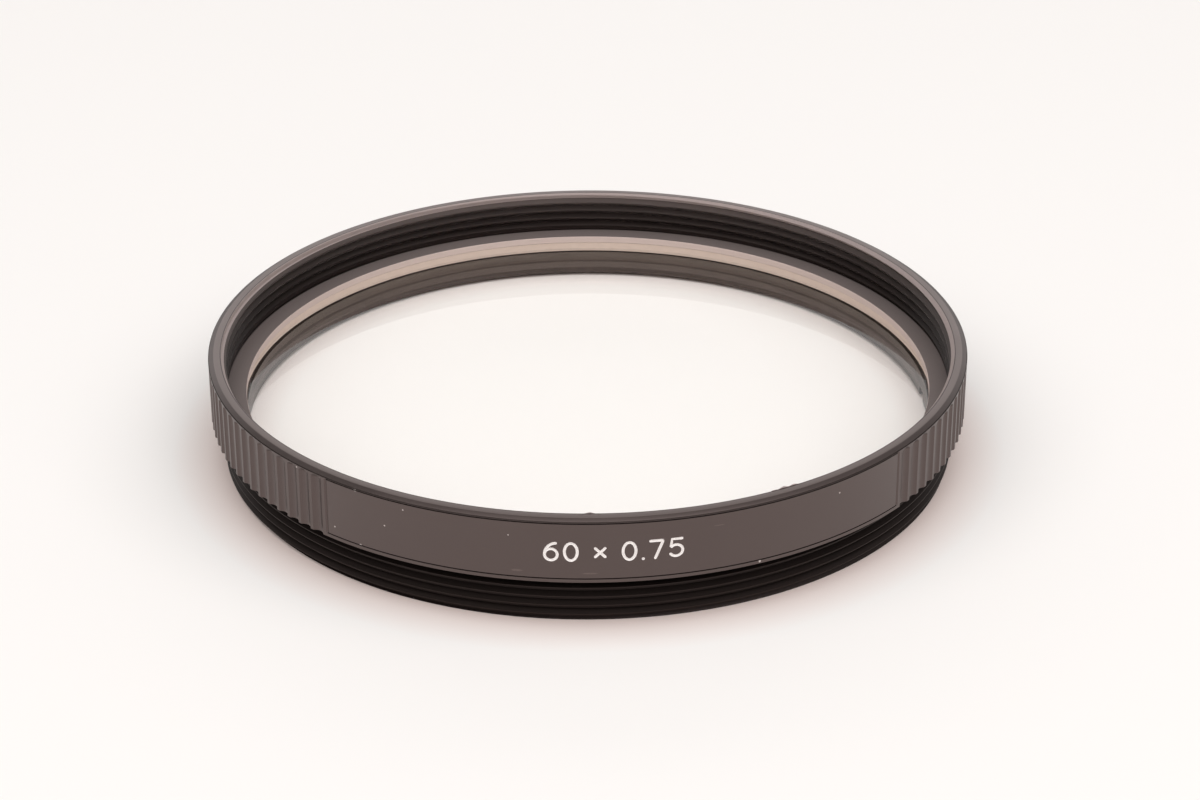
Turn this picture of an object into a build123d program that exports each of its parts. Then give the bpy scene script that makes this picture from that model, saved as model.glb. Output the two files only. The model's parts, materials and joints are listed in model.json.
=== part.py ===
from build123d import *
from math import degrees
import os

# Screw-in lens filter, millimetres. The filter lies on its male thread: +Z points out of the front, z = 0 is the
# lower end of the male thread and the axis of the ring is the Z axis. The smooth marked field faces -Y.

# Thread, the same size at both ends. The helix is left plain here: a cylinder at the crest radius stands for each.
thread_size = 60.0
thread_pitch = 0.75
thread_major_radius = thread_size / 2
female_crest_radius = thread_major_radius - 0.5413 * thread_pitch

# Male end, from the bottom up. The wall is measured from the thread's crest in to the rear recess.
male_wall = 1.2
male_thread_length = 3.4
entry_chamfer = 0.28
relief_height = 0.5
relief_depth = 0.65
end_edge_break = 0.1

# Grip band, which stands proud of the male thread by a step.
grip_step = 1.0
grip_height = 5.3
front_chamfer_width = 0.5
front_chamfer_height = 0.2
grip_edge_break = 0.1

# Front thread and the shoulder under it.
front_well_depth = 3.5
lead_in_width = 0.36
lead_in_height = 0.5
shoulder_thickness = 0.6

# Glass and the ring that holds it. The glass fills the rear recess and the shoulder laps over its edge.
glass_thickness = 2.75
shoulder_lap = 0.45
glass_edge_bevel = 0.12
glass_side_clearance = 0.3
retainer_recess = 0.35
retainer_clearance = 0.02
spanner_slot_width = 1.5
spanner_slot_depth = 0.8
spanner_slot_count = 2

# Finger flutes, in one fluted zone on each side.
flutes_in_zone = 35
flute_step_degrees = 2.55
flute_width = 1.08
flute_depth = 0.26
flute_top_land = 0.1
zone_centres_degrees = (0, 180)

# Scribed frame round each smooth field.
scribe_width = 0.1
scribe_depth = 0.1
scribe_below_chamfer = 0.13
scribe_above_edge = 0.35
field_margin = 0.46
end_groove_width = 0.28

# Places that follow from the sizes above.
grip_radius = thread_major_radius + grip_step
grip_bottom = male_thread_length + relief_height
top = grip_bottom + grip_height
chamfer_foot = top - front_chamfer_height
shoulder_top = top - front_well_depth
glass_top = shoulder_top - shoulder_thickness
glass_bottom = glass_top - glass_thickness
recess_radius = thread_major_radius - male_wall
glass_radius = recess_radius - glass_side_clearance
aperture_radius = glass_radius - shoulder_lap
retainer_radius = recess_radius - retainer_clearance
relief_radius = thread_major_radius - relief_depth
scribe_top = chamfer_foot - scribe_below_chamfer
scribe_bottom = grip_bottom + scribe_above_edge
flute_top = chamfer_foot - flute_top_land


def turned(points):
    """Solid of revolution about Z from (radius, height) points of its half section."""
    section = make_face(Polyline(*[(r, 0, z) for r, z in points], close=True))
    return revolve(section, Axis.Z)


def ring_blank():
    """The ring as it leaves the lathe: male thread, relief, grip band, front thread, shoulder and rear recess."""
    return turned([
        (recess_radius + end_edge_break, 0),
        (thread_major_radius - entry_chamfer, 0),
        (thread_major_radius, entry_chamfer),
        (thread_major_radius, male_thread_length),
        (relief_radius, male_thread_length),
        (relief_radius, grip_bottom),
        (grip_radius - grip_edge_break, grip_bottom),
        (grip_radius, grip_bottom + grip_edge_break),
        (grip_radius, chamfer_foot),
        (grip_radius - front_chamfer_width, top),
        (female_crest_radius + lead_in_width, top),
        (female_crest_radius, top - lead_in_height),
        (female_crest_radius, shoulder_top),
        (aperture_radius, shoulder_top),
        (aperture_radius, glass_top),
        (recess_radius, glass_top),
        (recess_radius, end_edge_break),
    ])


def flute_cutter():
    """Round cutter standing on the grip's surface, its top edge bevelled so that each flute ends in an arch."""
    radius = ((flute_width / 2) ** 2 + flute_depth ** 2) / (2 * flute_depth)
    height = flute_top - grip_bottom + grip_edge_break
    bar = Cylinder(radius, height, align=(Align.CENTER, Align.CENTER, Align.MAX))
    bar = chamfer(bar.edges().sort_by(Axis.Z)[-1], flute_depth)
    return Pos(grip_radius + radius - flute_depth, 0, flute_top) * bar


def flutes():
    """Every flute, spread evenly about the middle of its zone."""
    cutter = flute_cutter()
    first = -flute_step_degrees * (flutes_in_zone - 1) / 2
    places = [
        zone + first + step * flute_step_degrees
        for zone in zone_centres_degrees
        for step in range(flutes_in_zone)
    ]
    return [Rot(0, 0, place) * cutter for place in places]


def field_half_angle():
    """Half the angle of a smooth field, from the outermost flute less a plain margin."""
    flute_reach = flute_step_degrees * (flutes_in_zone - 1) / 2
    beside = degrees((flute_width / 2 + field_margin) / grip_radius)
    return 90 - flute_reach - beside


def scribed_arc(height):
    """Fine V groove along one smooth field at a given height."""
    half = scribe_width / 2
    outside = grip_radius + scribe_depth
    section = make_face(Polyline(
        (grip_radius - scribe_depth, 0, height),
        (outside, 0, height + 2 * half),
        (outside, 0, height - 2 * half),
        close=True,
    ))
    half_angle = field_half_angle()
    groove = revolve(section, Axis.Z, 2 * half_angle)
    return Rot(0, 0, -half_angle) * groove


def end_groove():
    """Shallow upright groove that closes the frame at one end of a smooth field."""
    half = end_groove_width / 2
    outside = grip_radius + scribe_depth
    section = make_face(Polyline(
        (grip_radius - scribe_depth, 0, scribe_bottom),
        (outside, 2 * half, scribe_bottom),
        (outside, -2 * half, scribe_bottom),
        close=True,
    ))
    return extrude(section, amount=scribe_top - scribe_bottom, dir=(0, 0, 1))


def field_frames():
    """The scribed frame of each smooth field: a line above, a line below and a groove at each end."""
    cuts = []
    for zone in zone_centres_degrees:
        middle = Rot(0, 0, zone + 90)
        cuts += [middle * scribed_arc(scribe_top), middle * scribed_arc(scribe_bottom)]
        for end in (-1, 1):
            cuts.append(middle * Rot(0, 0, end * field_half_angle()) * end_groove())
    return cuts


def filter_ring():
    """Turned ring with its milled flutes and scribed fields."""
    return ring_blank() - flutes() - field_frames()


def glass_disc():
    """Clear disc with a small ground bevel on both edges, against the shoulder's underside."""
    return turned([
        (0, glass_bottom),
        (glass_radius - glass_edge_bevel, glass_bottom),
        (glass_radius, glass_bottom + glass_edge_bevel),
        (glass_radius, glass_top - glass_edge_bevel),
        (glass_radius - glass_edge_bevel, glass_top),
        (0, glass_top),
    ])


def retaining_ring():
    """Threaded ring that clamps the glass from the lens side, with slots across its lower face for a spanner."""
    ring = turned([
        (aperture_radius, retainer_recess),
        (retainer_radius, retainer_recess),
        (retainer_radius, glass_bottom),
        (aperture_radius, glass_bottom),
    ])
    slot = Pos(aperture_radius, 0, retainer_recess) * Box(
        4 * (retainer_radius - aperture_radius), spanner_slot_width, 2 * spanner_slot_depth)
    turn = 360 / spanner_slot_count
    return ring - [Rot(0, 0, place * turn) * slot for place in range(spanner_slot_count)]


pieces = {
    "filter_ring": filter_ring(),
    "glass_disc": glass_disc(),
    "retaining_ring": retaining_ring(),
}

os.makedirs("parts", exist_ok=True)
for name, solid in pieces.items():
    export_step(solid, f"parts/{name}.step")
    print(name, len(solid.solids()), "solid", round(solid.volume, 2), "mm3")
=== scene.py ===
import functools
import json
import math

import bpy
import bmesh
import numpy as np
from mathutils import Matrix, Vector

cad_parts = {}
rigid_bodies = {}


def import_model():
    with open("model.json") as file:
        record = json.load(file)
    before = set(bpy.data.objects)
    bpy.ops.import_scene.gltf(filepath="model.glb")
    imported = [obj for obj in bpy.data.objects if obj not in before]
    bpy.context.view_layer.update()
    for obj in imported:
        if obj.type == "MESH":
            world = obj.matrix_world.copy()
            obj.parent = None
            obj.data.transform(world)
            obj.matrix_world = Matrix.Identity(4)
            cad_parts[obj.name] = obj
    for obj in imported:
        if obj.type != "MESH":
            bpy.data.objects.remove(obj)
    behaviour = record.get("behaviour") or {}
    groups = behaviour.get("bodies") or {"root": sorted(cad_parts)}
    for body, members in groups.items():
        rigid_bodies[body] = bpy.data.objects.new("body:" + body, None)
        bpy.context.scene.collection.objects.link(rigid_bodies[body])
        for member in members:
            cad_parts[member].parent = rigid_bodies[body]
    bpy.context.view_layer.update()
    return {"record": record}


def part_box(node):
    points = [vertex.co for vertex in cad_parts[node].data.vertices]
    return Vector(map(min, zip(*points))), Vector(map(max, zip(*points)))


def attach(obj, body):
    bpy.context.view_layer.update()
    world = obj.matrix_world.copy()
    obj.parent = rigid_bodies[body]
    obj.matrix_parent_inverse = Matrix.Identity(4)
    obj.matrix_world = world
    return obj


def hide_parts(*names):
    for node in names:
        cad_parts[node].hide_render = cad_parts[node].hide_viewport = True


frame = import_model()
mm = 0.001

# Camera. A 91 mm lens about a quarter of a metre away, in front of the ring and a little to its left,
# looking down on it at 27 degrees. It is fitted to the circles that the ring shows in the photograph.
camera = bpy.data.objects.new("camera", bpy.data.cameras.new("camera"))
bpy.context.scene.collection.objects.link(camera)
camera.data.sensor_width = 36
camera.data.lens = 91.06
camera.data.clip_start = 10 * mm
camera.data.clip_end = 10
camera_place = (-19.95 * mm, -223.65 * mm, 117.51 * mm)
camera_dip = math.radians(26.961)
camera_turn = math.radians(-5.35)
camera_roll = math.radians(-0.133)
camera.matrix_world = (
    Matrix.Translation(camera_place)
    @ Matrix.Rotation(camera_turn, 4, "Z")
    @ Matrix.Rotation(math.pi / 2 - camera_dip, 4, "X")
    @ Matrix.Rotation(camera_roll, 4, "Z"))
bpy.context.scene.camera = camera
bpy.context.scene.view_settings.view_transform = "Standard"


# Filter ring. One piece of aluminium, turned from bar: a male thread below, a grip band above with finger
# flutes milled into two sides and a smooth field on the other two, a female thread in front and an inner
# shoulder for the glass. It is anodised black, and its size is engraved on one field and filled with white.
class Quantity:
    """A number coming out of a node. Arithmetic on it adds Math nodes, and node() adds any other node."""

    def __init__(self, tree, socket):
        self.tree = tree
        self.socket = socket

    def node(self, kind, settings=None, sockets=None, out=0):
        """Adds a node: its settings come first, then the values or links of its sockets."""
        made = self.tree.nodes.new(kind)
        for name, value in (settings or {}).items():
            setattr(made, name, value)
        for key, value in (sockets or {}).items():
            if isinstance(value, Quantity):
                self.tree.links.new(value.socket, made.inputs[key])
            else:
                made.inputs[key].default_value = value
        return Quantity(self.tree, made.outputs[out])

    def beside(self, output):
        """Another output of the same node."""
        return Quantity(self.tree, self.socket.node.outputs[output])

    def maths(self, operation, *others):
        """A Math node on this number and the others."""
        return self.node("ShaderNodeMath", {"operation": operation}, dict(enumerate((self, *others))))

    def __add__(self, other):
        return self.maths("ADD", other)

    def __sub__(self, other):
        return self.maths("SUBTRACT", other)

    def __mul__(self, other):
        return self.maths("MULTIPLY", other)

    def __truediv__(self, other):
        return self.maths("DIVIDE", other)

    def __radd__(self, other):
        return self.maths("ADD", other)

    def __rmul__(self, other):
        return self.maths("MULTIPLY", other)

    def __rsub__(self, other):
        return (self * -1.0).maths("ADD", other)

    def __rtruediv__(self, other):
        return self.maths("POWER", -1.0).maths("MULTIPLY", other)

    def __neg__(self):
        return self * -1.0

    def __abs__(self):
        return self.maths("ABSOLUTE")

    def least(self, other):
        return self.maths("MINIMUM", other)

    def most(self, other):
        return self.maths("MAXIMUM", other)

    def within(self, low, high):
        return self.most(low).least(high)

    def above(self, other):
        return self.maths("GREATER_THAN", other)

    def below(self, other):
        return self.maths("LESS_THAN", other)


def from_axis(place):
    """The x, y and z of a place, and its distance from the axis of the ring."""
    x = place.node("ShaderNodeSeparateXYZ", None, {"Vector": place})
    y, z = x.beside("Y"), x.beside("Z")
    return x, y, z, (x * x + y * y).maths("SQRT")


ring_low, ring_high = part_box("filter_ring")
glass_low, glass_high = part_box("glass_disc")
retainer_low, retainer_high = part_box("retaining_ring")
mounts = {mount["name"]: mount for mount in frame["record"]["mounts"]}
grip_radius = ring_high.x
ring_top = ring_high.z
male_crest = mounts["male_thread"]["dims"]["r_mm"] * mm
female_crest = mounts["female_thread"]["dims"]["r_mm"] * mm
glass_radius = glass_high.x
retainer_radius = retainer_high.x

pitch = 0.75 * mm
male_length = 3.4 * mm
male_depth = 0.46 * mm
male_crest_share = 0.10
male_root_share = 0.22
tip_radius = 29.72 * mm
relief_radius = 29.35 * mm
grip_bottom = 3.9 * mm
front_chamfer_width = 0.5 * mm
front_chamfer_height = 0.2 * mm
chamfer_foot = ring_top - front_chamfer_height
female_depth = 0.4 * mm
female_crest_share = 0.16
female_root_share = 0.14
lead_in_radius = 29.954 * mm
lead_in_foot = ring_top - 0.5 * mm
shoulder_top = 5.7 * mm
female_start = shoulder_top + 0.2 * mm
aperture_radius = 28.05 * mm
recess_radius = 28.8 * mm
edge_break = 0.04 * mm
arris = 0.06 * mm
rear_chamfer = 0.1 * mm
thread_relief = 0.25 * mm
weld_distance = 0.0005 * mm

flute_count = 35
flute_step = math.radians(2.55)
flute_half_width = 0.54 * mm
flute_depth = 0.26 * mm
flute_top = chamfer_foot - 0.1 * mm
field_half = math.pi / 2 - (flute_count - 1) / 2 * flute_step - 1.0 * mm / grip_radius
scribe_half = 0.05 * mm
scribe_depth = 0.1 * mm
scribe_lip = 0.015 * mm
scribe_top = chamfer_foot - 0.13 * mm
scribe_bottom = grip_bottom + 0.35 * mm
end_groove_half = 0.14 * mm

# What each row of the outline belongs to, which says how the tree cuts it.
PLAIN, MALE, FEMALE, GRIP, BURR = range(5)

# Each burr on the rim: its place and half its width in degrees, and its height.
burrs = {"First burr": (-4.85, 1.35, 0.10 * mm), "Second burr": (24.35, 2.65, 0.15 * mm)}
burr_waves = 200.0
burr_roughness = 0.35
burr_lean = 0.6

# Columns of faces round the ring, in degrees: coarse on the fields, fine where the size is engraved.
field_reach = 44
field_step = 1.0
engraved_from, engraved_to = -14, 11
engraved_step = 0.3
burr_columns = 13


def ring_columns():
    """Angles from the back round to the back again, in degrees: close together where the ring is cut."""
    field = math.degrees(field_half)
    half_flute = math.degrees(flute_half_width / grip_radius)
    half_groove = math.degrees(end_groove_half / grip_radius)
    angles = set(np.arange(0, field_reach + field_step / 2, field_step))
    angles |= set(np.arange(180 - field_reach, 180 + field_step / 2, field_step))
    for edge in (field, 180 - field):
        angles |= {edge + share * half_groove for share in (-1, -0.5, 0, 0.5, 1)}
    for number in range(flute_count):
        middle = 90 + math.degrees(flute_step) * (number - (flute_count - 1) / 2)
        shares = (-1, -0.8, -0.5, -0.17, 0.17, 0.5, 0.8, 1)
        angles |= {middle + share * half_flute for share in shares}
    both = {round(angle, 5) for angle in angles} | {round(-angle, 5) for angle in angles}
    for place, span, _ in burrs.values():
        both |= {round(place + share * span, 5) for share in np.linspace(-1, 1, burr_columns)}
    both |= {round(angle, 5) for angle in np.arange(engraved_from, engraved_to, engraved_step)}
    return np.array(sorted(both))


def thread_rows(kind, radius, start, end, crest_height, crest_flat, root_flat):
    """Rows that climb with a thread, a turn more than its length: two on each crest, two in each root."""
    rows = []
    first = math.floor((start - pitch - crest_height) / pitch) - 1
    last = math.ceil((end - crest_height) / pitch) + 1
    for turn in range(first, last):
        for share in (-crest_flat / 2, crest_flat / 2, 0.5 - root_flat / 2, 0.5 + root_flat / 2):
            height = crest_height + (turn + share) * pitch
            if start - pitch < height < end:
                rows.append((kind, radius, height))
    return [(kind, radius, start - pitch)] + rows + [(kind, radius, end)]


crest_rise = pitch / (2 * math.pi)
crest_in_view = 2.87 * mm
male_crest_height = crest_in_view + crest_rise * (-camera_turn - math.pi)
female_crest_height = 8.35 * mm
male_rows = thread_rows(
    MALE, male_crest, 0, male_length, male_crest_height, male_crest_share, male_root_share)
female_rows = thread_rows(
    FEMALE, female_crest, female_start, ring_top, female_crest_height, female_crest_share, female_root_share)
grip_heights = [grip_bottom + edge_break, grip_bottom + 0.2 * mm]
grip_heights += [scribe_bottom + share * scribe_half for share in (-1, 0, 1)]
grip_heights += [level * mm for level in (5.0, 5.55, 6.1, 6.65, 7.2, 7.6, 8.2)]
grip_heights += [flute_top - flute_depth * share for share in (1, 0.85, 0.7, 0.55, 0.4, 0.25, 0.12, 0)]
grip_heights += [scribe_top + share * scribe_half for share in (-1, 0, 1)]
grip_heights += [chamfer_foot - arris]

outline = [(PLAIN, recess_radius, rear_chamfer), (PLAIN, recess_radius + rear_chamfer, 0)]
outline += male_rows
outline += [
    (PLAIN, relief_radius, male_length),
    (PLAIN, relief_radius, grip_bottom),
    (GRIP, grip_radius - 3 * edge_break, grip_bottom),
    (GRIP, grip_radius - edge_break, grip_bottom + edge_break / 4),
]
outline += [(GRIP, grip_radius, height) for height in sorted(grip_heights)]
outline += [
    (PLAIN, grip_radius - arris, chamfer_foot + arris / 6),
    (PLAIN, grip_radius - front_chamfer_width + edge_break, ring_top - edge_break / 3),
    (PLAIN, grip_radius - front_chamfer_width - edge_break / 2, ring_top),
    (PLAIN, lead_in_radius + 2 * edge_break, ring_top),
    (BURR, lead_in_radius + edge_break, ring_top),
]
outline += reversed(female_rows)
outline += [
    (PLAIN, female_crest + thread_relief, female_start),
    (PLAIN, female_crest + thread_relief, shoulder_top),
    (PLAIN, aperture_radius + edge_break, shoulder_top),
    (PLAIN, aperture_radius, shoulder_top - edge_break),
    (PLAIN, aperture_radius, glass_high.z + edge_break),
    (PLAIN, aperture_radius + edge_break, glass_high.z),
    (PLAIN, recess_radius, glass_high.z),
]


def lathe(name, rows, degrees):
    """A closed ring of quads: a column for each angle, and a row for each (kind, radius, height)."""
    turns = degrees / 360 + 0.5
    kinds, radii, heights = (np.array(values)[None, :] for values in zip(*rows))
    angles = np.radians(degrees)[:, None]
    grid = np.stack(np.broadcast_arrays(radii * np.sin(angles), -radii * np.cos(angles), heights), -1)
    columns, count = len(degrees), len(rows)
    corner = np.arange(columns - 1)[:, None] * count + np.arange(count)[None, :]
    above = np.arange(columns - 1)[:, None] * count + (np.arange(count)[None, :] + 1) % count
    quads = np.stack([corner, corner + count, above + count, above], -1).reshape(-1, 4)
    mesh = bpy.data.meshes.new(name)
    mesh.from_pydata(grid.reshape(-1, 3).tolist(), [], quads.tolist())
    shape = (columns, count)
    stored = {
        "turn": np.broadcast_to(turns[:, None], shape),
        "radius": np.broadcast_to(radii, shape),
        "height": np.broadcast_to(heights, shape),
        "kind": np.broadcast_to(kinds, shape),
    }
    for label, values in stored.items():
        attribute = mesh.attributes.new(label, "FLOAT", "POINT")
        attribute.data.foreach_set("value", values.astype(np.float32).ravel())
    made = bpy.data.objects.new(name, mesh)
    bpy.context.scene.collection.objects.link(made)
    return made


ring_sizes = {
    "Pitch": pitch,
    "Male crest": male_crest,
    "Male depth": male_depth,
    "Male length": male_length,
    "Male crest height": male_crest_height,
    "Tip radius": tip_radius,
    "Female crest": female_crest,
    "Female depth": female_depth,
    "Female start": female_start,
    "Female crest height": female_crest_height,
    "Lead-in foot": lead_in_foot,
    "Lead-in radius": lead_in_radius,
    "Ring top": ring_top,
    "Grip radius": grip_radius,
    "Flute step": flute_step,
    "Flutes each side of the middle": (flute_count - 1) / 2,
    "Flute half width": flute_half_width,
    "Flute depth": flute_depth,
    "Flute top": flute_top,
    "Field half angle": field_half,
    "Scribe depth": scribe_depth,
    "Scribe half width": scribe_half,
    "Scribe top": scribe_top,
    "Scribe bottom": scribe_bottom,
    "End groove half width": end_groove_half,
}
for name, (place, span, height) in burrs.items():
    ring_sizes[name + " place"] = math.radians(place)
    ring_sizes[name + " span"] = math.radians(span)
    ring_sizes[name + " height"] = height


def new_tree(name, sizes):
    """A Geometry Nodes tree with a named number input for each size, and the blank that comes into it."""
    tree = bpy.data.node_groups.new(name, "GeometryNodeTree")
    tree.interface.new_socket("Blank", in_out="INPUT", socket_type="NodeSocketGeometry")
    for size in sizes:
        tree.interface.new_socket(size, in_out="INPUT", socket_type="NodeSocketFloat")
    tree.interface.new_socket("Finished", in_out="OUTPUT", socket_type="NodeSocketGeometry")
    return tree, Quantity(tree, tree.nodes.new("NodeGroupInput").outputs["Blank"])


def stored(blank, name):
    """A number that the lathe has stored at each corner of the blank."""
    return blank.node("GeometryNodeInputNamedAttribute", {"data_type": "FLOAT"}, {"Name": name})


def dress(moved, material):
    """Welds the moved blank, makes plain faces of it and gives it a material."""
    welded = moved.node("GeometryNodeMergeByDistance", None, {"Geometry": moved, "Distance": weld_distance})
    whole = welded.node("GeometryNodeRealizeInstances", None, {"Geometry": welded})
    return whole.node("GeometryNodeSetMaterial", None, {"Geometry": whole, "Material": material})


def finish_tree(tree, dressed):
    """Links the last node of a tree to its output."""
    finished = tree.nodes.new("NodeGroupOutput")
    tree.links.new(dressed.socket, finished.inputs["Finished"])
    return tree


def keep_result(piece, modifier):
    """Gives a piece the plain mesh that its modifier makes, and removes the modifier."""
    evaluated = piece.evaluated_get(bpy.context.evaluated_depsgraph_get())
    mesh = bpy.data.meshes.new_from_object(evaluated)
    piece.modifiers.remove(modifier)
    piece.data = mesh
    mesh.name = piece.name


def bake(piece, tree, sizes):
    """Runs a tree on a piece, with each named size set by its socket's identifier."""
    modifier = piece.modifiers.new(tree.name, "NODES")
    modifier.node_group = tree
    for item in tree.interface.items_tree:
        if item.name in sizes:
            modifier[item.identifier] = float(sizes[item.name])
    keep_result(piece, modifier)


def thread_cut(height, turn, crest_height, thread_pitch, crest_flat, root_flat):
    """How deep a screw thread is cut at a height and a turn: 0 on the crest, 1 in the root."""
    along = (height - crest_height) / thread_pitch - turn + 0.5
    away = abs(along.maths("FRACT") - 0.5)
    return ((away - crest_flat / 2) / (0.5 - crest_flat / 2 - root_flat / 2)).within(0.0, 1.0)


def male_wall(size, turn, height):
    """The radius of the male thread, with its tapered tip."""
    cut = thread_cut(
        height, turn, size["Male crest height"], size["Pitch"], male_crest_share, male_root_share)
    return (size["Male crest"] - cut * size["Male depth"]).least(size["Tip radius"] + height)


def female_wall(size, turn, height):
    """The radius of the female thread, which runs out at its foot and ends above in a cone."""
    cut = thread_cut(
        height, turn, size["Female crest height"], size["Pitch"], female_crest_share, female_root_share)
    runs_out = ((height - size["Female start"]) / (size["Pitch"] * 0.5)).within(0.0, 1.0)
    threaded = size["Female crest"] + cut * size["Female depth"] * runs_out
    lead_in = (height - size["Lead-in foot"]) / (size["Ring top"] - size["Lead-in foot"])
    cone = size["Female crest"] + lead_in * (size["Lead-in radius"] - size["Female crest"])
    return threaded.most(cone).least(size["Lead-in radius"])


def flute_cut(size, across, height):
    """How deep the flutes are: a round cutter's path, which leaves the band in an arch near the top."""
    each_side = size["Flutes each side of the middle"]
    nearest = (across / size["Flute step"]).maths("ROUND").within(-each_side, each_side)
    sideways = (across - nearest * size["Flute step"]) * size["Grip radius"]
    half_width, depth = size["Flute half width"], size["Flute depth"]
    cutter = (half_width * half_width + depth * depth) / (depth * 2.0)
    bevelled = cutter - (height - size["Flute top"] + depth).most(0.0)
    reach = (bevelled * bevelled - sideways * sideways).most(0.0).maths("SQRT")
    fluted = size["Grip radius"] + cutter - depth - reach
    return (size["Grip radius"] - fluted).most(0.0) * bevelled.above(0.0)


def groove(distance, half):
    """A scribed line: 1 in its middle, and 0 from half its width outwards."""
    return (1.0 - abs(distance) / half).most(0.0)


def ring_tree(satin, deep):
    """Cuts both threads, the flutes and the scribed frames of the fields into the turned blank."""
    tree, blank = new_tree("cut_threads_and_flutes", ring_sizes)
    size = {name: blank.beside(name) for name in ring_sizes}
    turn, radius, height, kind = (stored(blank, name) for name in ("turn", "radius", "height", "kind"))
    codes = (MALE, FEMALE, GRIP, BURR)
    male, female, grip, burred = (kind.maths("COMPARE", float(code), 0.5) for code in codes)

    climbed = height + turn * size["Pitch"]
    male_height = climbed.within(0.0, size["Male length"])
    female_height = climbed.within(size["Female start"], size["Ring top"])
    height = height + male * (male_height - height) + female * (female_height - height)

    angle = (turn - 0.5) * (2 * math.pi)
    across = abs(angle) - math.pi / 2
    from_middle = abs(across)
    edge = math.pi / 2 - size["Field half angle"]
    in_field = from_middle.above(edge)
    line_cut = groove(height - size["Scribe top"], size["Scribe half width"])
    line_cut = line_cut.most(groove(height - size["Scribe bottom"], size["Scribe half width"]))
    end_cut = groove((from_middle - edge) * size["Grip radius"], size["End groove half width"])
    between = height.above(size["Scribe bottom"]) * height.below(size["Scribe top"])
    scribed = (line_cut * in_field).most(end_cut * between) * size["Scribe depth"]
    gripped = radius - flute_cut(size, across, height) - scribed

    male_radius = male_wall(size, turn, height)
    female_radius = female_wall(size, turn, height)
    radius = radius + male * (male_radius - radius) + female * (female_radius - radius)
    radius = radius + grip * (gripped - radius)

    ragged = (angle * burr_waves).maths("SINE") * burr_roughness + (1 - burr_roughness)
    for burr in burrs:
        share = (1.0 - abs(angle - size[burr + " place"]) / size[burr + " span"]).most(0.0)
        lift = share.maths("SQRT") * size[burr + " height"] * ragged * burred
        height = height + lift
        radius = radius - lift * burr_lean
    place = radius.node("ShaderNodeCombineXYZ", None, {
        "X": radius * angle.maths("SINE"),
        "Y": -(radius * angle.maths("COSINE")),
        "Z": height,
    })
    moved = blank.node("GeometryNodeSetPosition", None, {"Geometry": blank, "Position": place})
    dressed = dress(moved, satin)

    # The faces inside the scribed lines and in both threads get the darker material: painted shade standing
    # in for the shade in these hollows.
    _, _, now_high, now_wide = from_axis(blank.node("GeometryNodeInputPosition"))
    by_line = abs(now_high - size["Scribe top"]).least(abs(now_high - size["Scribe bottom"]))
    in_line = by_line.below(size["Scribe half width"]) * now_wide.below(size["Grip radius"] - scribe_lip)
    painted_shade_faces = (in_line * in_field * grip).most(female).most(male).above(0.99)
    dressed = dressed.node("GeometryNodeSetMaterial", None, {
        "Geometry": dressed, "Selection": painted_shade_faces, "Material": deep})
    return finish_tree(tree, dressed)


def new_material(name):
    """A material with a Principled shader, and the place on the piece that its patterns read."""
    material = bpy.data.materials.new(name)
    material.use_nodes = True
    nodes = material.node_tree.nodes
    shader = next(node for node in nodes if node.type == "BSDF_PRINCIPLED")
    place = Quantity(material.node_tree, nodes.new("ShaderNodeTexCoord").outputs["Object"])
    return material, shader, place


def put(shader, socket, value):
    """Links a quantity to a shader's socket."""
    value.tree.links.new(value.socket, shader.inputs[socket])


def blend(factor, low, high):
    """A colour between two colours: inputs 6 and 7 and output 2 are the colours of a Mix node."""
    return factor.node(
        "ShaderNodeMix", {"data_type": "RGBA"}, {"Factor": factor, 6: low, 7: high}, out=2)


# Each speck and scuff: its place in degrees from the middle of the marked field, then its height and half its
# width and half its height, in millimetres.
dust_specks = [
    (-39.3, 8.89, 0.15, 0.13), (-31.45, 8.35, 0.07, 0.07), (-34.5, 6.6, 0.08, 0.07),
    (-43.3, 5.05, 0.08, 0.07), (-50.6, 8.77, 0.08, 0.08), (-16.1, 7.7, 0.06, 0.06),
    (32.4, 7.9, 0.08, 0.07), (-38.7, 4.3, 0.12, 0.07), (19.2, 4.15, 0.10, 0.16),
]
scuffs = [(-14.95, 4.78, 0.5, 0.12), (-4.95, 4.72, 0.7, 0.08), (13.0, 7.9, 0.5, 0.05)]
speck_edge = 2.5


def specks(azimuth, z, places):
    """1 in the middle of each soft-edged speck on the grip band, and 0 between them."""
    found = []
    for degrees, level, wide, high in places:
        across = (azimuth - math.radians(degrees)) * (grip_radius / (wide * mm))
        upward = (z - level * mm) / (high * mm)
        inward = 1.0 - (across * across + upward * upward).maths("SQRT")
        found.append((inward * speck_edge).within(0.0, 1.0))
    return functools.reduce(Quantity.most, found)


turning_marks = 30000.0
wall_skin = 0.02 * mm
rim_skin = 0.03 * mm
grip_skin = 0.6 * mm


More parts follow.
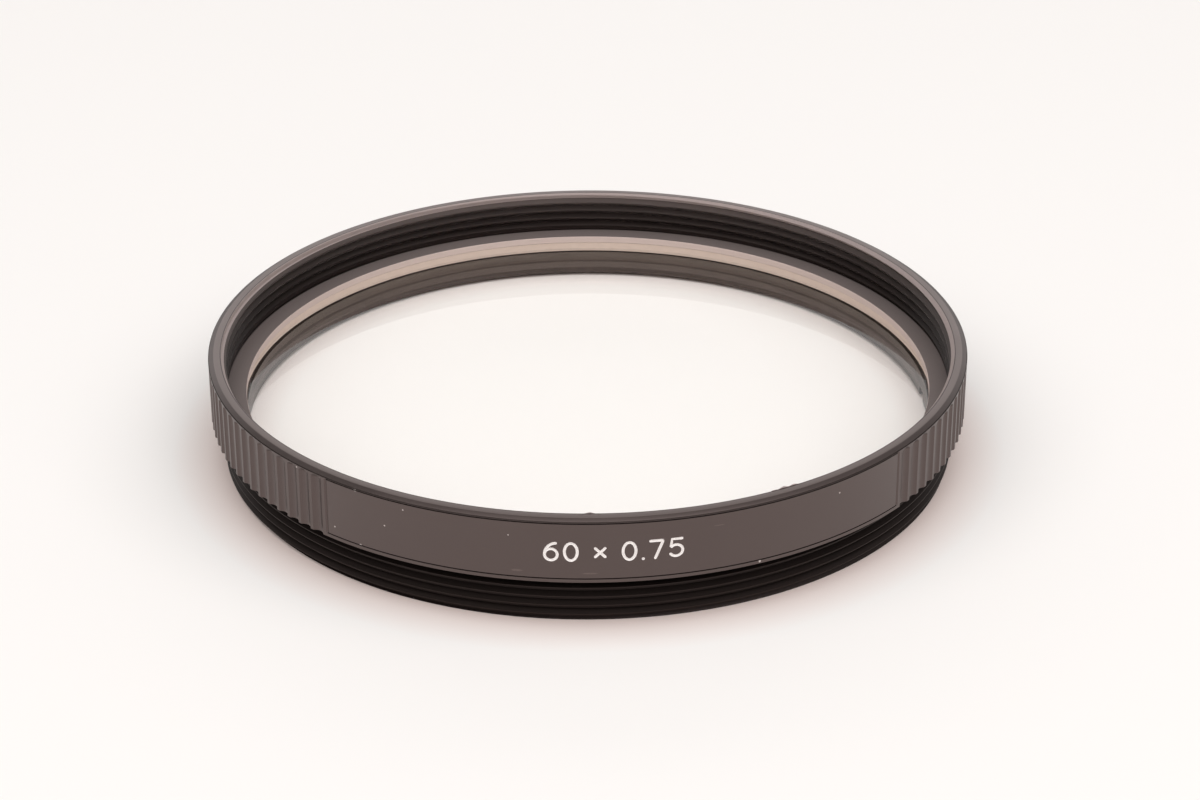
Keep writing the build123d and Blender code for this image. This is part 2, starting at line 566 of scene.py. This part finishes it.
def black_anodising():
    """Satin black anodising over fine turning marks, with a cloudy bloom, a few specks, a paler seat, and a
    painted highlight on the flat top of the rim.
    """
    material, shader, place = new_material("black_anodising")
    x, y, z, radius = from_axis(place)
    azimuth = x.maths("ARCTAN2", -y)
    turned = place.node("ShaderNodeCombineXYZ", None, {
        "X": radius * turning_marks, "Y": azimuth * 4.0, "Z": z * turning_marks})
    marks = place.node("ShaderNodeTexNoise", None, {"Vector": turned, "Scale": 1.0, "Detail": 3.0})
    clouds = place.node("ShaderNodeTexNoise", None, {"Vector": place, "Scale": 220.0, "Detail": 4.0})
    grain = place.node("ShaderNodeTexNoise", None, {"Vector": place, "Scale": 9000.0, "Detail": 2.0})
    bloom = (clouds * 1.6 - 0.35).within(0.0, 1.0)
    colour = blend(bloom, (0.0120, 0.0088, 0.0078, 1), (0.0190, 0.0143, 0.0128, 1))

    inside = radius.below(female_crest + wall_skin)
    seat = inside * z.below(shoulder_top + wall_skin) * z.above(glass_high.z - wall_skin)
    lip = seat * radius.below(aperture_radius + wall_skin)
    # Painted highlight: the flat top of the rim is painted lighter, standing in for the light that this land
    # catches.
    rim = z.above(ring_top - rim_skin)
    outside = radius.above(male_crest - grip_skin)
    colour = blend(seat, colour, (0.13, 0.108, 0.102, 1))
    colour = blend(lip, colour, (0.60, 0.49, 0.45, 1))
    colour = blend(rim, colour, (0.105, 0.086, 0.081, 1))
    colour = blend(specks(azimuth, z, scuffs) * outside * grain, colour, (0.10, 0.075, 0.065, 1))
    colour = blend(specks(azimuth, z, dust_specks) * outside * 0.7, colour, (0.80, 0.72, 0.68, 1))
    put(shader, "Base Color", colour)
    put(shader, "Roughness", 0.31 + bloom * 0.08 + (grain - 0.5) * 0.1 + seat * 0.25)
    shader.inputs["IOR"].default_value = 1.95
    shader.inputs["Specular Tint"].default_value = (1.0, 0.78, 0.74, 1)
    bump = place.node("ShaderNodeBump", None, {
        "Strength": 0.35, "Distance": 0.004 * mm, "Height": marks * 0.7 + grain * 0.5})
    put(shader, "Normal", bump)
    return material


mouth_painted_light_foot = 6.6 * mm
thread_skin = 0.01 * mm


def painted_light_and_shade_black():
    """The same anodising in both threads and in the scribed lines, flat and darker: painted shade in these
    hollows. Painted light lifts it towards the mouth of the bore, and a pale painted highlight covers the
    lead-in cone.
    """
    material, shader, place = new_material("painted_light_and_shade_black")
    _, _, z, radius = from_axis(place)
    in_bore = radius.below(male_crest - thread_skin)
    # Painted light: lighter towards the mouth of the bore and darker deeper in, standing in for the light
    # that falls in from above.
    mouth = ((z - mouth_painted_light_foot) / (lead_in_foot - mouth_painted_light_foot)).within(0.0, 1.0)
    mouth = mouth * mouth * in_bore
    # Painted highlight: the lead-in cone is painted pale for the front light that it catches.
    cone = z.above(lead_in_foot + thread_skin) * in_bore
    colour = blend(mouth, (0.0075, 0.0052, 0.0043, 1), (0.070, 0.056, 0.052, 1))
    colour = blend(cone, colour, (0.36, 0.295, 0.283, 1))
    put(shader, "Base Color", colour)
    shader.inputs["Roughness"].default_value = 0.5
    shader.inputs["IOR"].default_value = 1.42
    shader.inputs["Specular Tint"].default_value = (1.0, 0.78, 0.74, 1)
    return material


ring = lathe("filter_ring_body", outline, ring_columns())
bake(ring, ring_tree(black_anodising(), painted_light_and_shade_black()), ring_sizes)

digit_width = 0.95 * mm
digit_height = 1.44 * mm
digit_gap = 0.55
corner_cut = 0.06
rod_sides = 12
stroke_radius = 0.115 * mm
engraved_depth = 0.095 * mm
engraved_foot = 5.7 * mm + stroke_radius
engraved_middle = math.radians(-1.65)


def curved(across, up, wide, high, start, end, steps=14):
    """Points along part of an ellipse, from one angle to another in degrees."""
    angles = np.radians(np.linspace(start, end, steps))
    return [(across + wide * math.cos(angle), up + high * math.sin(angle)) for angle in angles]


# Each sign: how wide it is, and the lines that the engraving cutter runs, in a box one wide and one high.
signs = {
    "0": (1.0, [curved(0.5, 0.5, 0.5, 0.5, 90, 450, 29)]),
    "5": (1.0, [[(0.92, 1), (0.14, 1), (0.06, 0.56)] + curved(0.47, 0.33, 0.53, 0.33, 140, -145)]),
    "6": (1.0, [curved(0.95, 0.33, 0.95, 0.67, 95, 176), curved(0.5, 0.33, 0.5, 0.33, 180, 540, 25)]),
    "7": (1.0, [[(0, 1), (1, 1), (0.38, 0)]]),
    ".": (0.05, [[(0.02, 0), (0.03, 0)]]),
    "x": (0.75, [[(0, 0.22), (0.75, 0.71)], [(0, 0.71), (0.75, 0.22)]]),
    " ": (0.3, []),
}


def rounded(points):
    """The same line with its corners cut twice, as a round cutter leaves them."""
    for _ in range(2):
        if len(points) < 3 or len(points) > 12:
            return points
        cut = [points[0]]
        for (ax, ay), (bx, by) in zip(points, points[1:]):
            near = min(0.25, corner_cut / max(math.hypot(bx - ax, by - ay), 1e-6))
            cut.append((ax + (bx - ax) * near, ay + (by - ay) * near))
            cut.append((bx + (ax - bx) * near, by + (ay - by) * near))
        points = cut + [points[-1]]
    return points


def round_end(ring_at, way):
    """Rings that close one end of a rod with a dome, from the rod outwards."""
    place, along, out, _ = ring_at
    dome = []
    for turn in (30, 60, 85):
        bulge = math.radians(turn)
        dome.append((place + along * way * stroke_radius * math.sin(bulge), along, out, math.cos(bulge)))
    return dome


def skinned(name, loops, closed):
    """A closed mesh over loops of points, each joined to the next: the ends meet, or each gets a face."""
    shape = bmesh.new()
    rings = [[shape.verts.new(point) for point in loop] for loop in loops]
    pairs = list(zip(rings, rings[1:]))
    if closed:
        pairs.append((rings[-1], rings[0]))
    for lower, upper in pairs:
        for side in range(len(lower)):
            after = (side + 1) % len(lower)
            shape.faces.new((lower[side], lower[after], upper[after], upper[side]))
    if not closed:
        shape.faces.new(rings[0])
        shape.faces.new(rings[-1])
    bmesh.ops.recalc_face_normals(shape, faces=shape.faces)
    mesh = bpy.data.meshes.new(name)
    shape.to_mesh(mesh)
    shape.free()
    return bpy.data.objects.new(name, mesh)


def stroke_cutter(name, line, start, material):
    """A round-ended rod bent along one engraved line, standing into the wall by the engraved depth."""
    closed = math.dist(line[0], line[-1]) < 1e-6
    line = line[:-1] if closed else rounded(line)
    centre = grip_radius + stroke_radius - engraved_depth
    spots = []
    outward = []
    for across, up in line:
        angle = start + across * digit_width / grip_radius
        out = Vector((math.sin(angle), -math.cos(angle), 0))
        outward.append(out)
        spots.append(out * centre + Vector((0, 0, engraved_foot + up * digit_height)))
    rings = []
    count = len(spots)
    for index, spot_at in enumerate(spots):
        after = spots[(index + 1) % count] if closed else spots[min(index + 1, count - 1)]
        before = spots[index - 1] if closed else spots[max(index - 1, 0)]
        rings.append((spot_at, (after - before).normalized(), outward[index], 1.0))
    if not closed:
        rings = round_end(rings[0], -1)[::-1] + rings + round_end(rings[-1], 1)
    turns = [2 * math.pi * side / rod_sides for side in range(rod_sides)]
    loops = []
    for place, along, out, share in rings:
        beside = along.cross(out).normalized()
        reach = stroke_radius * share
        loops.append([
            place + out * (reach * math.cos(turn)) + beside * (reach * math.sin(turn)) for turn in turns])
    cutter = skinned(name, loops, closed)
    cutter.data.materials.append(material)
    return cutter


def white_filler():
    """White filler wiped into the engraved lines."""
    material, shader, _ = new_material("white_filler")
    shader.inputs["Base Color"].default_value = (0.93, 0.88, 0.86, 1)
    shader.inputs["Roughness"].default_value = 0.6
    return material


def engrave(piece, words):
    """Cuts a row of signs into the field and fills them: every line of the row is one cutter."""
    cutters = bpy.data.collections.new("engraving_cutters")
    bpy.context.scene.collection.children.link(cutters)
    filler = white_filler()
    piece.data.materials.append(filler)
    reach = sum(signs[sign][0] + digit_gap for sign in words) - digit_gap
    start = engraved_middle - reach * digit_width / grip_radius / 2
    for sign in words:
        width, lines = signs[sign]
        for line in lines:
            cutters.objects.link(stroke_cutter("engraving_line", line, start, filler))
        start += (width + digit_gap) * digit_width / grip_radius
    modifier = piece.modifiers.new("engraving", "BOOLEAN")
    modifier.operation = "DIFFERENCE"
    modifier.solver = "EXACT"
    modifier.operand_type = "COLLECTION"
    modifier.collection = cutters
    modifier.material_mode = "TRANSFER"
    keep_result(piece, modifier)
    for cutter in list(cutters.objects):
        bpy.data.objects.remove(cutter)
    bpy.data.collections.remove(cutters)


def smooth(piece, sharpest):
    """Shades a piece smooth, except at edges that turn by more than an angle in degrees."""
    for polygon in piece.data.polygons:
        polygon.use_smooth = True
    piece.data.set_sharp_from_angle(angle=math.radians(sharpest))


engrave(ring, "60 x 0.75")
smooth(ring, 18)
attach(ring, "root")
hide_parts("filter_ring")


# Retaining ring. A thin ring of aluminium, anodised matt black, screwed in from below against the glass, with
# two slots across its lower face for a spanner. Its screw thread is left off: the outside is plain.
slot_half = math.degrees(0.75 * mm / aperture_radius)
slot_depth = 0.8 * mm
slot_margin = 0.3
slot_wall = 0.02
slot_slack = 1e-4


def dark_retainer():
    """Matt black anodising on the retaining ring."""
    material, shader, place = new_material("matt_black_anodising")
    clouds = place.node("ShaderNodeTexNoise", None, {"Vector": place, "Scale": 400.0, "Detail": 4.0})
    put(shader, "Base Color", blend(clouds, (0.026, 0.020, 0.017, 1), (0.042, 0.032, 0.027, 1)))
    put(shader, "Roughness", 0.4 + clouds * 0.15)
    shader.inputs["IOR"].default_value = 1.6
    shader.inputs["Specular Tint"].default_value = (1.0, 0.85, 0.80, 1)
    return material


def retainer_columns():
    """One angle for every two degrees, and a pair at each wall of the two slots."""
    angles = set(np.arange(-180, 181, 2.0))
    for middle in (-90, 90):
        angles -= {angle for angle in angles if abs(angle - middle) < slot_half + slot_margin}
        for side in (-1, 1):
            angles |= {middle + side * slot_half, middle + side * (slot_half - slot_wall)}
    return np.array(sorted(angles))


# The foot of the outline is raised in the slots, and its head stays.
FOOT, HEAD = range(2)
retainer_rows = [
    (FOOT, aperture_radius, retainer_low.z + edge_break),
    (FOOT, aperture_radius + edge_break, retainer_low.z),
    (FOOT, retainer_radius - edge_break, retainer_low.z),
    (FOOT, retainer_radius, retainer_low.z + edge_break),
    (HEAD, retainer_radius, retainer_high.z),
    (HEAD, aperture_radius, retainer_high.z),
]
retainer = lathe("retaining_ring_body", retainer_rows, retainer_columns())
slotted = {"Slot half angle": math.radians(slot_half), "Slot top": retainer_low.z + slot_depth}


def retainer_tree(material):
    """Raises the lower face inside each spanner slot."""
    tree, blank = new_tree("mill_spanner_slots", slotted)
    turn, kind = stored(blank, "turn"), stored(blank, "kind")
    across = abs(abs((turn - 0.5) * (2 * math.pi)) - math.pi / 2)
    in_foot = kind.below((FOOT + HEAD) / 2)
    in_slot = across.below(blank.beside("Slot half angle") - slot_slack) * in_foot
    x, y, height, _ = from_axis(blank.node("GeometryNodeInputPosition"))
    raised = height + in_slot * (blank.beside("Slot top") - height)
    place = blank.node("ShaderNodeCombineXYZ", None, {"X": x, "Y": y, "Z": raised})
    moved = blank.node("GeometryNodeSetPosition", None, {"Geometry": blank, "Position": place})
    return finish_tree(tree, dress(moved, material))


bake(retainer, retainer_tree(dark_retainer()), slotted)
smooth(retainer, 18)
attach(retainer, "root")
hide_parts("retaining_ring")


# Glass. A clear polished disc with a fine-ground edge, held between the shoulder and the retaining ring.
# Its ground edge shows through the top face as a pale tan band round the far side.
glass_bevel = 0.12 * mm
ground_reach = 1.03 * glass_bevel
glass_sides = 360


def clear_glass():
    """Coated, polished glass that lets lamps through unbent, with a frosted, dust-filled ground edge."""
    material, shader, place = new_material("clear_glass")
    shader.inputs["Base Color"].default_value = (0.998, 0.995, 0.988, 1)
    shader.inputs["Specular Tint"].default_value = (0.3, 0.3, 0.3, 1)
    shader.inputs["Roughness"].default_value = 0.0
    shader.inputs["IOR"].default_value = 1.52
    shader.inputs["Transmission Weight"].default_value = 1.0
    _, _, _, radius = from_axis(place)
    on_edge = radius.above(glass_radius - ground_reach)
    clear = place.node("ShaderNodeBsdfTransparent", None, {"Color": (0.988, 0.985, 0.979, 1)})
    ray = place.node("ShaderNodeLightPath")
    lamp_ray = ray.beside("Is Shadow Ray") + ray.beside("Is Diffuse Ray")
    polished = Quantity(place.tree, shader.outputs[0])
    through = place.node("ShaderNodeMixShader", None, {0: lamp_ray, 1: polished, 2: clear})
    speckle = place.node("ShaderNodeTexNoise", None, {"Vector": place, "Scale": 1500.0, "Detail": 3.0})
    ground_colour = blend(speckle, (0.65, 0.52, 0.445, 1), (0.75, 0.615, 0.53, 1))
    ground = place.node("ShaderNodeBsdfPrincipled", None, {
        "Base Color": ground_colour, "Roughness": 0.8, "Specular IOR Level": 0.1})
    both = place.node("ShaderNodeMixShader", None, {0: on_edge, 1: through, 2: ground})
    output = next(node for node in place.tree.nodes if node.type == "OUTPUT_MATERIAL")
    place.tree.links.new(both.socket, output.inputs["Surface"])
    return material


def glass_disc():
    """A disc with a bevel on both edges, and one face across the top and one across the bottom."""
    rows = [
        (glass_radius - glass_bevel, glass_low.z),
        (glass_radius, glass_low.z + glass_bevel),
        (glass_radius, glass_high.z - glass_bevel),
        (glass_radius - glass_bevel, glass_high.z),
    ]
    angles = [2 * math.pi * side / glass_sides for side in range(glass_sides)]
    loops = [
        [(radius * math.sin(angle), -radius * math.cos(angle), height) for angle in angles]
        for radius, height in rows
    ]
    disc = skinned("glass_disc_body", loops, False)
    bpy.context.scene.collection.objects.link(disc)
    return disc


glass = glass_disc()
glass.data.materials.append(clear_glass())
smooth(glass, 28)
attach(glass, "root")
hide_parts("glass_disc")


# Table. A plain white surface that the filter lies on, which fills the picture.
painted_contact_tint_reach = 4.5 * mm


def table_white():
    """Matt white card, slightly warm, with a pinkish, darker tint painted round the filter's foot: painted
    shade for the warm contact shadow there.
    """
    material, shader, place = new_material("table_white")
    _, _, _, radius = from_axis(place)
    # Painted shade: a pinkish, darker tint round the filter's foot, standing in for the warm contact shadow.
    near = (1.0 - abs(radius - male_crest) / painted_contact_tint_reach).within(0.0, 1.0)
    put(shader, "Base Color", blend(near, (0.95, 0.915, 0.892, 1), (0.94, 0.79, 0.74, 1)))
    shader.inputs["Roughness"].default_value = 0.9
    shader.inputs["Specular IOR Level"].default_value = 0.1
    return material


table_half = 2.0
table_mesh = bpy.data.meshes.new("table")
table_corners = [(-1, -1), (1, -1), (1, 1), (-1, 1)]
table_mesh.from_pydata([(x * table_half, y * table_half, 0) for x, y in table_corners], [], [(0, 1, 2, 3)])
table = bpy.data.objects.new("table", table_mesh)
bpy.context.scene.collection.objects.link(table)
table_mesh.materials.append(table_white())


# Light. A weak white surround and a large soft panel overhead, a brighter one in front and above, which
# lights the marked field and the edges of the rim, and one low behind, which lights the rim's flat land.
world = bpy.data.worlds.new("white_surround")
world.use_nodes = True
surround = world.node_tree.nodes["Background"]
surround.inputs["Color"].default_value = (1.0, 0.985, 0.97, 1)
surround.inputs["Strength"].default_value = 0.27
bpy.context.scene.world = world


def soft_panel(name, azimuth, elevation, wide, high, glow):
    """A flat lamp a metre away, facing the filter: its glow is the brightness that a mirror would show."""
    lamp = bpy.data.objects.new(name, bpy.data.lights.new(name, "AREA"))
    lamp.data.shape = "RECTANGLE"
    lamp.data.size = wide
    lamp.data.size_y = high
    lamp.data.energy = glow * math.pi * wide * high
    turn, rise = math.radians(azimuth), math.radians(elevation)
    place = Vector((math.sin(turn) * math.cos(rise), -math.cos(turn) * math.cos(rise), math.sin(rise)))
    lamp.location = place
    lamp.rotation_euler = place.to_track_quat("Z", "Y").to_euler()
    bpy.context.scene.collection.objects.link(lamp)


soft_panel("overhead_panel", azimuth=0, elevation=71, wide=3.0, high=1.4, glow=1.30)
soft_panel("front_panel", azimuth=4, elevation=47, wide=1.0, high=0.45, glow=1.2)
soft_panel("back_panel", azimuth=178, elevation=22, wide=1.6, high=0.35, glow=0.9)
